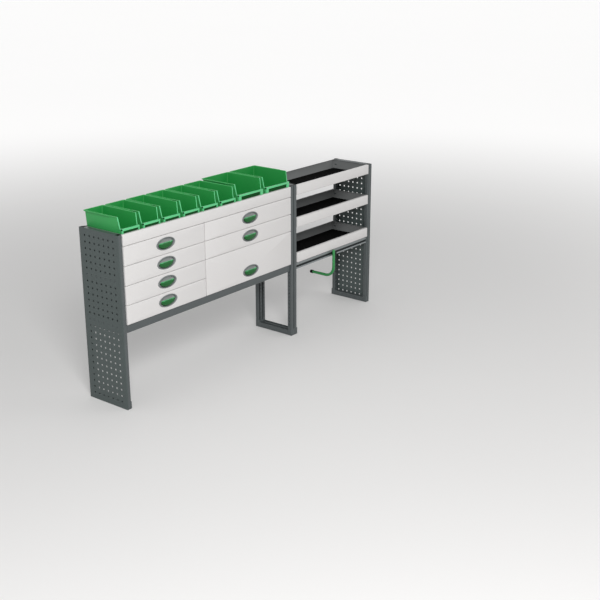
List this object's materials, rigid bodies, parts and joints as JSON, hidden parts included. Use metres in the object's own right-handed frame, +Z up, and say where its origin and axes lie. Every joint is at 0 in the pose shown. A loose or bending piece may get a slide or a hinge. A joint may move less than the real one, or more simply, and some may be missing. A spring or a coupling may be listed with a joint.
{
  "type": "van racking system",
  "caption": "Steel van rack with a drawer cabinet under lift-off storage bins, beside an open shelf unit with lipped trays, perforated end panels and a sliding hook.",
  "frame": {"origin": "on the floor, at the middle of the footprint of the side frames", "axes": "+X along the rack from the drawer unit to the shelf unit, -Y the open front, +Z up"},
  "size_m": [2.411, 0.3405, 1.1295],
  "materials": {
    "frame_grey": "satin powder coat",
    "panel_grey": "satin powder coat",
    "cabinet_grey": "satin powder coat",
    "tray_grey": "satin powder coat",
    "front_white": "satin powder coat",
    "runner_zinc": "zinc plated",
    "mat_black": "ribbed matt",
    "bin_green": "moulded satin",
    "grip_green": "moulded gloss",
    "bezel_grey": "moulded satin",
    "hook_green": "gloss powder coat",
    "cap_black": "matt",
    "clamp_black": "moulded matt"
  },
  "bodies": {
    "rack": {"left_frame": "frame_grey", "left_centre_frame": "frame_grey", "right_centre_frame": "frame_grey", "right_frame": "frame_grey", "left_front_rail": "frame_grey", "hook_rail": "frame_grey", "rear_rails": "frame_grey", "left_side_panel": "panel_grey", "right_side_panel": "panel_grey", "drawer_cabinet": "cabinet_grey", "cabinet_runners": "runner_zinc", "bin_tray": "tray_grey", "bin_tray_fascia": "front_white", "lower_shelf_tray": "tray_grey", "lower_shelf_lip": "front_white", "middle_shelf_tray": "tray_grey", "middle_shelf_lip": "front_white", "top_shelf_tray": "tray_grey", "top_shelf_lip": "front_white", "shelf_mats": "mat_black"},
    "drawer_1": {"drawer_1_front": "front_white", "drawer_1_box": "cabinet_grey", "drawer_1_bezel": "bezel_grey"},
    "grip_1": {"drawer_1_grip": "grip_green"},
    "drawer_2": {"drawer_2_front": "front_white", "drawer_2_box": "cabinet_grey", "drawer_2_bezel": "bezel_grey"},
    "grip_2": {"drawer_2_grip": "grip_green"},
    "drawer_3": {"drawer_3_front": "front_white", "drawer_3_box": "cabinet_grey", "drawer_3_bezel": "bezel_grey"},
    "grip_3": {"drawer_3_grip": "grip_green"},
    "drawer_4": {"drawer_4_front": "front_white", "drawer_4_box": "cabinet_grey", "drawer_4_bezel": "bezel_grey"},
    "grip_4": {"drawer_4_grip": "grip_green"},
    "drawer_5": {"drawer_5_front": "front_white", "drawer_5_box": "cabinet_grey", "drawer_5_bezel": "bezel_grey"},
    "grip_5": {"drawer_5_grip": "grip_green"},
    "drawer_6": {"drawer_6_front": "front_white", "drawer_6_box": "cabinet_grey", "drawer_6_bezel": "bezel_grey"},
    "grip_6": {"drawer_6_grip": "grip_green"},
    "drawer_7": {"drawer_7_front": "front_white", "drawer_7_box": "cabinet_grey", "drawer_7_bezel": "bezel_grey"},
    "grip_7": {"drawer_7_grip": "grip_green"},
    "bin_1": {"bin_1": "bin_green"},
    "bin_2": {"bin_2": "bin_green"},
    "bin_3": {"bin_3": "bin_green"},
    "bin_4": {"bin_4": "bin_green"},
    "bin_5": {"bin_5": "bin_green"},
    "bin_6": {"bin_6": "bin_green"},
    "bin_7": {"bin_7": "bin_green"},
    "bin_8": {"bin_8": "bin_green"},
    "hook": {"hook_bar": "hook_green", "hook_cap": "cap_black", "hook_clamp": "clamp_black"}
  },
  "joints": [
    {"name": "drawer_1_slide", "type": "slide", "parent": "rack", "child": "drawer_1", "axis": [0, -1, 0], "range_m": [0, 0.2]},
    {"name": "grip_1_pull", "type": "hinge", "parent": "drawer_1", "child": "grip_1", "pos_m": [-0.8495, -0.152, 0.8945], "axis": [1, 0, 0], "range_deg": [0, 20], "stiffness_Nm_per_rad": 0.5},
    {"name": "drawer_2_slide", "type": "slide", "parent": "rack", "child": "drawer_2", "axis": [0, -1, 0], "range_m": [0, 0.2]},
    {"name": "grip_2_pull", "type": "hinge", "parent": "drawer_2", "child": "grip_2", "pos_m": [-0.8495, -0.152, 0.7805], "axis": [1, 0, 0], "range_deg": [0, 20], "stiffness_Nm_per_rad": 0.5},
    {"name": "drawer_3_slide", "type": "slide", "parent": "rack", "child": "drawer_3", "axis": [0, -1, 0], "range_m": [0, 0.2]},
    {"name": "grip_3_pull", "type": "hinge", "parent": "drawer_3", "child": "grip_3", "pos_m": [-0.8495, -0.152, 0.6665], "axis": [1, 0, 0], "range_deg": [0, 20], "stiffness_Nm_per_rad": 0.5},
    {"name": "drawer_4_slide", "type": "slide", "parent": "rack", "child": "drawer_4", "axis": [0, -1, 0], "range_m": [0, 0.2]},
    {"name": "grip_4_pull", "type": "hinge", "parent": "drawer_4", "child": "grip_4", "pos_m": [-0.8495, -0.152, 0.5525], "axis": [1, 0, 0], "range_deg": [0, 20], "stiffness_Nm_per_rad": 0.5},
    {"name": "drawer_5_slide", "type": "slide", "parent": "rack", "child": "drawer_5", "axis": [0, -1, 0], "range_m": [0, 0.2]},
    {"name": "grip_5_pull", "type": "hinge", "parent": "drawer_5", "child": "grip_5", "pos_m": [-0.11675, -0.152, 0.8945], "axis": [1, 0, 0], "range_deg": [0, 20], "stiffness_Nm_per_rad": 0.5},
    {"name": "drawer_6_slide", "type": "slide", "parent": "rack", "child": "drawer_6", "axis": [0, -1, 0], "range_m": [0, 0.2]},
    {"name": "grip_6_pull", "type": "hinge", "parent": "drawer_6", "child": "grip_6", "pos_m": [-0.11675, -0.152, 0.7805], "axis": [1, 0, 0], "range_deg": [0, 20], "stiffness_Nm_per_rad": 0.5},
    {"name": "drawer_7_slide", "type": "slide", "parent": "rack", "child": "drawer_7", "axis": [0, -1, 0], "range_m": [0, 0.2]},
    {"name": "grip_7_pull", "type": "hinge", "parent": "drawer_7", "child": "grip_7", "pos_m": [-0.11675, -0.152, 0.5525], "axis": [1, 0, 0], "range_deg": [0, 20], "stiffness_Nm_per_rad": 0.5},
    {"name": "bin_1_lift", "type": "slide", "parent": "rack", "child": "bin_1", "axis": [0, 0, 1], "range_m": [0, 0.2]},
    {"name": "bin_2_lift", "type": "slide", "parent": "rack", "child": "bin_2", "axis": [0, 0, 1], "range_m": [0, 0.2]},
    {"name": "bin_3_lift", "type": "slide", "parent": "rack", "child": "bin_3", "axis": [0, 0, 1], "range_m": [0, 0.2]},
    {"name": "bin_4_lift", "type": "slide", "parent": "rack", "child": "bin_4", "axis": [0, 0, 1], "range_m": [0, 0.2]},
    {"name": "bin_5_lift", "type": "slide", "parent": "rack", "child": "bin_5", "axis": [0, 0, 1], "range_m": [0, 0.2]},
    {"name": "bin_6_lift", "type": "slide", "parent": "rack", "child": "bin_6", "axis": [0, 0, 1], "range_m": [0, 0.2]},
    {"name": "bin_7_lift", "type": "slide", "parent": "rack", "child": "bin_7", "axis": [0, 0, 1], "range_m": [0, 0.2]},
    {"name": "bin_8_lift", "type": "slide", "parent": "rack", "child": "bin_8", "axis": [0, 0, 1], "range_m": [0, 0.2]},
    {"name": "hook_slide", "type": "slide", "parent": "rack", "child": "hook", "axis": [1, 0, 0], "range_m": [-0.375, 0.38]}
  ]
}
